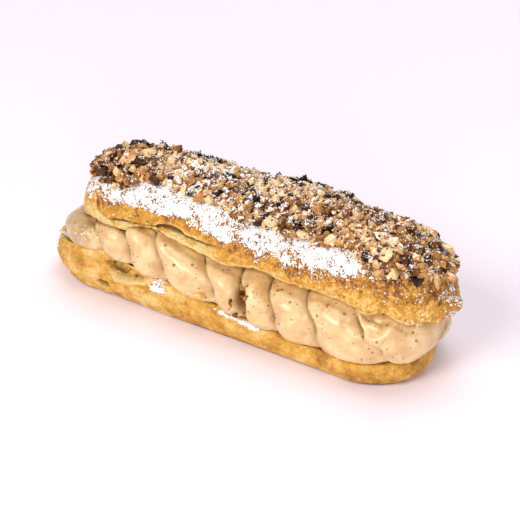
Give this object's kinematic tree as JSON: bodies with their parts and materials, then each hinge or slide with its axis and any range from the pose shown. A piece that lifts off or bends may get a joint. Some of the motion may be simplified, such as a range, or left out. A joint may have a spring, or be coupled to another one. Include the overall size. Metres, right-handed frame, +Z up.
{
  "type": "paris-brest",
  "caption": "Bar-shaped choux pastry split in two, filled with a piped rope of praline cream, the lid dusted with sugar and topped with a crust of chopped nuts.",
  "frame": {"origin": "middle of the bounding box's underside, on the surface that the pastry stands on", "axes": "+X along the bar, -Y towards the front where the lid gapes most, +Z up"},
  "size_m": [0.1502, 0.05, 0.0529],
  "materials": {
    "choux_base": "golden baked choux, matt and slightly mottled",
    "praline_cream": "smooth piped praline cream with a soft sheen and fine dark specks",
    "choux_lid": "golden brown baked choux under white icing sugar",
    "chopped_nuts": "chopped caramelised nuts from pale straw to dark brown, dusted with sugar"
  },
  "bodies": {
    "root": {"choux_base": "choux_base", "praline_cream": "praline_cream", "choux_lid": "choux_lid", "nut_crust": "chopped_nuts"}
  },
  "joints": []
}
